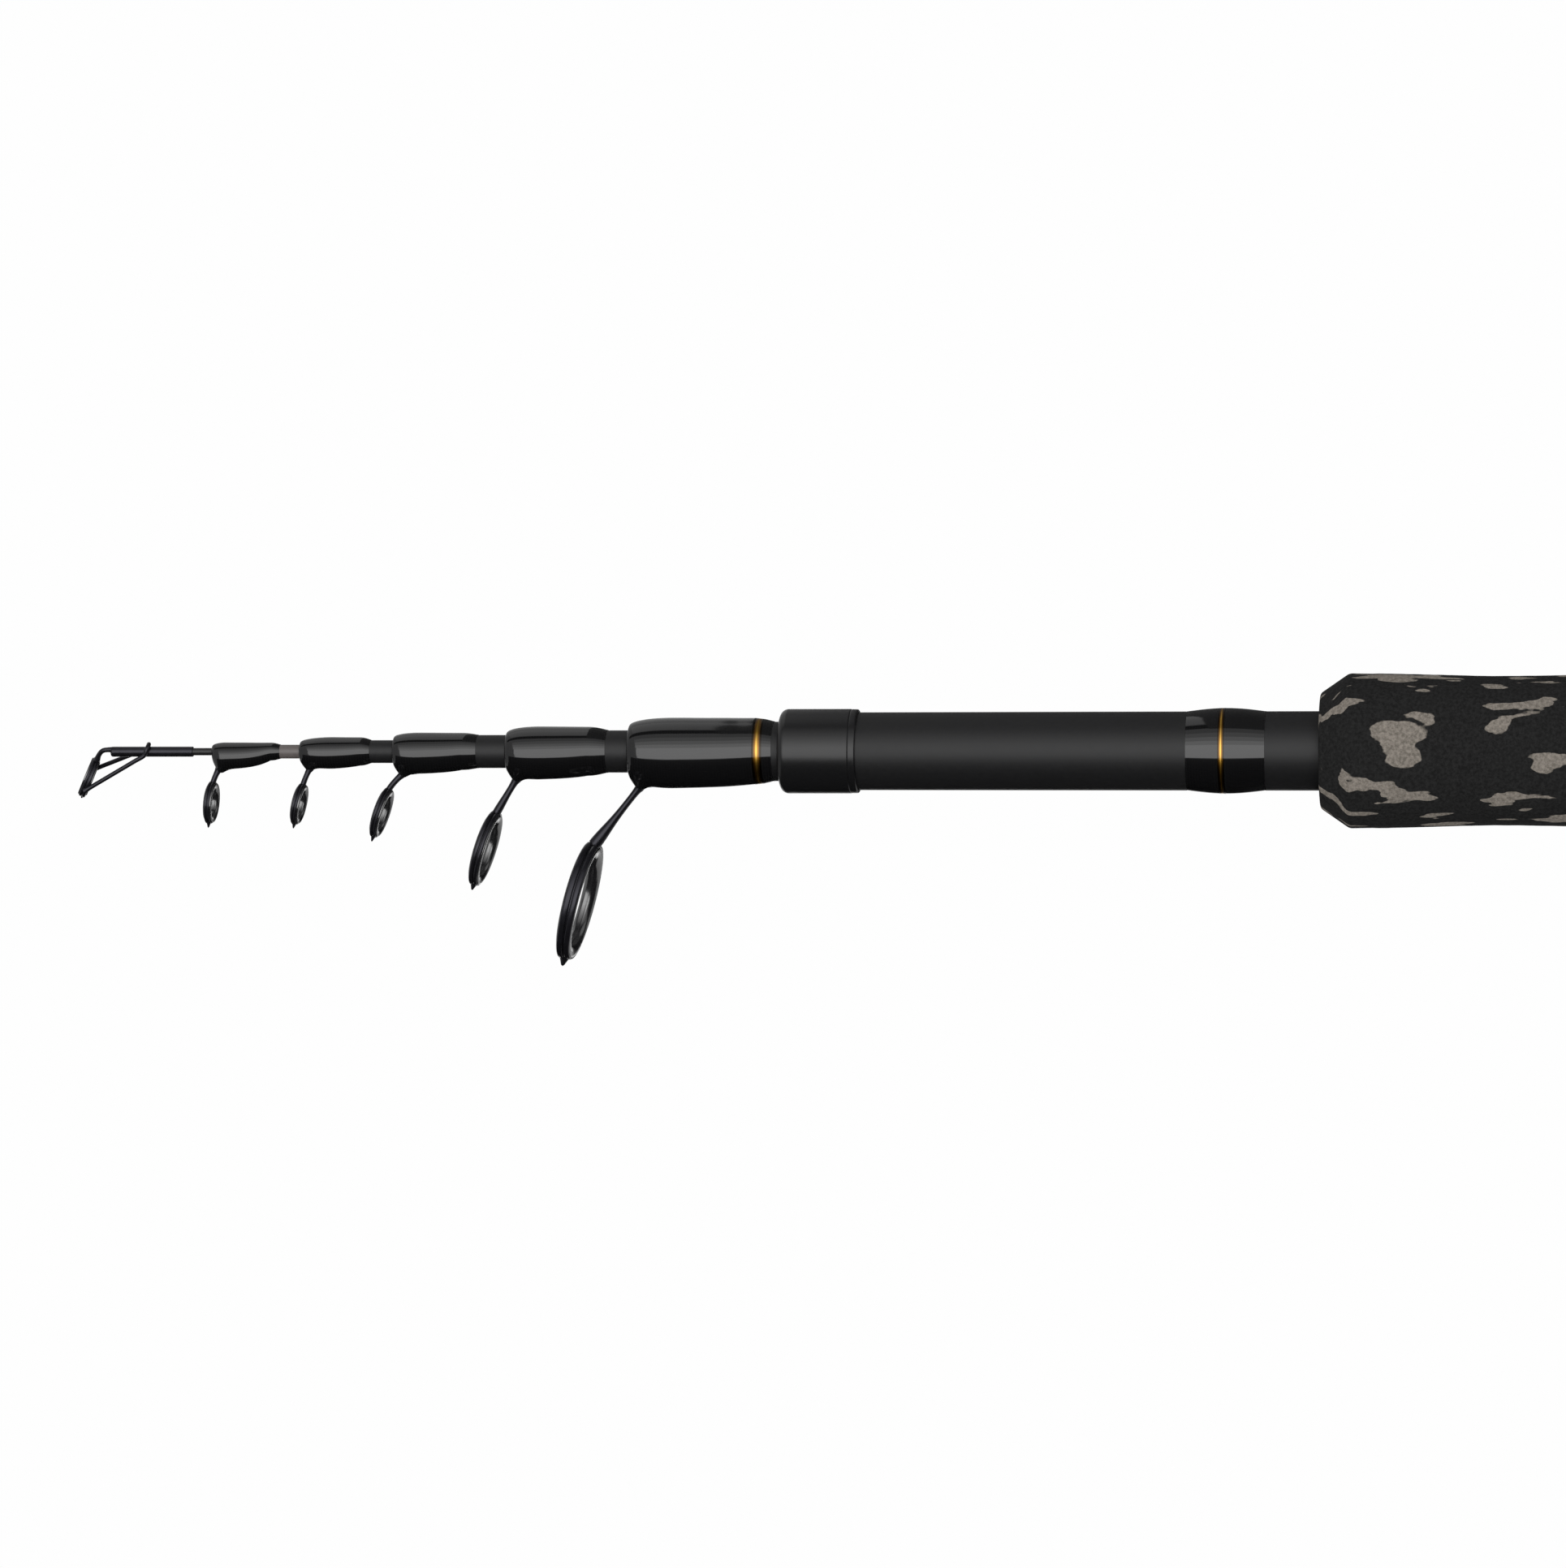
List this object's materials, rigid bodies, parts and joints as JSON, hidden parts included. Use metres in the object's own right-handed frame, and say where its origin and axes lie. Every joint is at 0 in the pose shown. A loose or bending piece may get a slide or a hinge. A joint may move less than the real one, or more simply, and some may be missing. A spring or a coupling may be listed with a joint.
{
  "type": "telescopic fishing rod",
  "caption": "Telescopic spinning rod with nested tapered sections, leaning line guides, foam grips and a screw-down reel seat; draws out of its butt section.",
  "frame": {"origin": "on the rod's axis, in the middle of the rear grip's straight stretch, where a hand or a rod holder carries the rod", "axes": "+X along the rod towards its butt end, so the tip is towards -X; -Z the way the line guides and the reel hang; +Y to the right of someone who holds the rod and looks at its tip, with the guides below"},
  "size_m": [0.6537, 0.0336, 0.0643],
  "materials": {
    "carbon_blank": "satin",
    "bare_blank": "satin",
    "tip_blank": "satin",
    "lacquer": "gloss",
    "gold_thread": "satin",
    "guide_frame": "satin",
    "ring_ceramic": "polished",
    "camo_foam": "matte",
    "seat_plastic": "satin",
    "fitting_plastic": "satin",
    "arbor_cork": "matte",
    "damper_rubber": "matte",
    "seal_rubber": "matte"
  },
  "bodies": {
    "handle": {"butt_blank": "carbon_blank", "mouth_cap": "fitting_plastic", "butt_wrap": "lacquer", "butt_band": "gold_thread", "fore_grip": "camo_foam", "seat_trim_front": "fitting_plastic", "seat_arbor_front": "arbor_cork", "seat_arbor_rear": "arbor_cork", "seat_barrel": "seat_plastic", "seat_fixed_hood": "seat_plastic", "seat_trim_rear": "fitting_plastic", "rear_grip": "camo_foam", "butt_ferrule": "fitting_plastic"},
    "seat_hood": {"seat_sliding_hood": "seat_plastic"},
    "lock_nut": {"seat_nut": "seat_plastic"},
    "damper": {"plug_damper": "damper_rubber"},
    "plug": {"butt_plug": "fitting_plastic", "plug_seal": "seal_rubber", "butt_bumper": "seal_rubber"},
    "section_6": {"section_6_blank": "carbon_blank", "section_6_wrap": "lacquer", "section_6_band": "gold_thread", "section_6_guide": "guide_frame", "section_6_ring": "ring_ceramic"},
    "section_5": {"section_5_blank": "carbon_blank", "section_5_wrap": "lacquer", "section_5_guide": "guide_frame", "section_5_ring": "ring_ceramic"},
    "section_4": {"section_4_blank": "carbon_blank", "section_4_wrap": "lacquer", "section_4_guide": "guide_frame", "section_4_ring": "ring_ceramic"},
    "section_3": {"section_3_blank": "carbon_blank", "section_3_wrap": "lacquer", "section_3_guide": "guide_frame", "section_3_ring": "ring_ceramic"},
    "section_2": {"section_2_blank": "bare_blank", "section_2_wrap": "lacquer", "section_2_guide": "guide_frame", "section_2_ring": "ring_ceramic"},
    "section_1": {"section_1_blank": "tip_blank", "tip_top_tube": "guide_frame", "tip_top_frame": "guide_frame", "tip_top_ring": "ring_ceramic"}
  },
  "joints": [
    {"name": "nut_turn", "type": "hinge", "parent": "seat_hood", "child": "lock_nut", "pos_m": [-0.186, 0, 0], "axis": [1, 0, 0], "range_deg": [0, 2520]},
    {"name": "hood_slide", "type": "slide", "parent": "handle", "child": "seat_hood", "axis": [1, 0, 0], "range_m": [0, 0.021]},
    {"name": "plug_turn", "type": "hinge", "parent": "damper", "child": "plug", "pos_m": [0.09, 0, 0], "axis": [1, 0, 0], "range_deg": [0, 1800]},
    {"name": "damper_slide", "type": "slide", "parent": "handle", "child": "damper", "axis": [1, 0, 0], "range_m": [0, 0.0125]},
    {"name": "section_6_slide", "type": "slide", "parent": "handle", "child": "section_6", "axis": [-1, 0, 0], "range_m": [0, 0.39005]},
    {"name": "section_5_slide", "type": "slide", "parent": "section_6", "child": "section_5", "axis": [-1, 0, 0], "range_m": [0, 0.42909]},
    {"name": "section_4_slide", "type": "slide", "parent": "section_5", "child": "section_4", "axis": [-1, 0, 0], "range_m": [0, 0.46158]},
    {"name": "section_3_slide", "type": "slide", "parent": "section_4", "child": "section_3", "axis": [-1, 0, 0], "range_m": [0, 0.49194]},
    {"name": "section_2_slide", "type": "slide", "parent": "section_3", "child": "section_2", "axis": [-1, 0, 0], "range_m": [0, 0.51815]},
    {"name": "section_1_slide", "type": "slide", "parent": "section_2", "child": "section_1", "axis": [-1, 0, 0], "range_m": [0, 0.54315]}
  ],
  "couplings": [
    {"joint": "hood_slide", "follows": "nut_turn", "m_per_rad": 0.00047746},
    {"joint": "damper_slide", "follows": "plug_turn", "m_per_rad": 0.00039789}
  ]
}
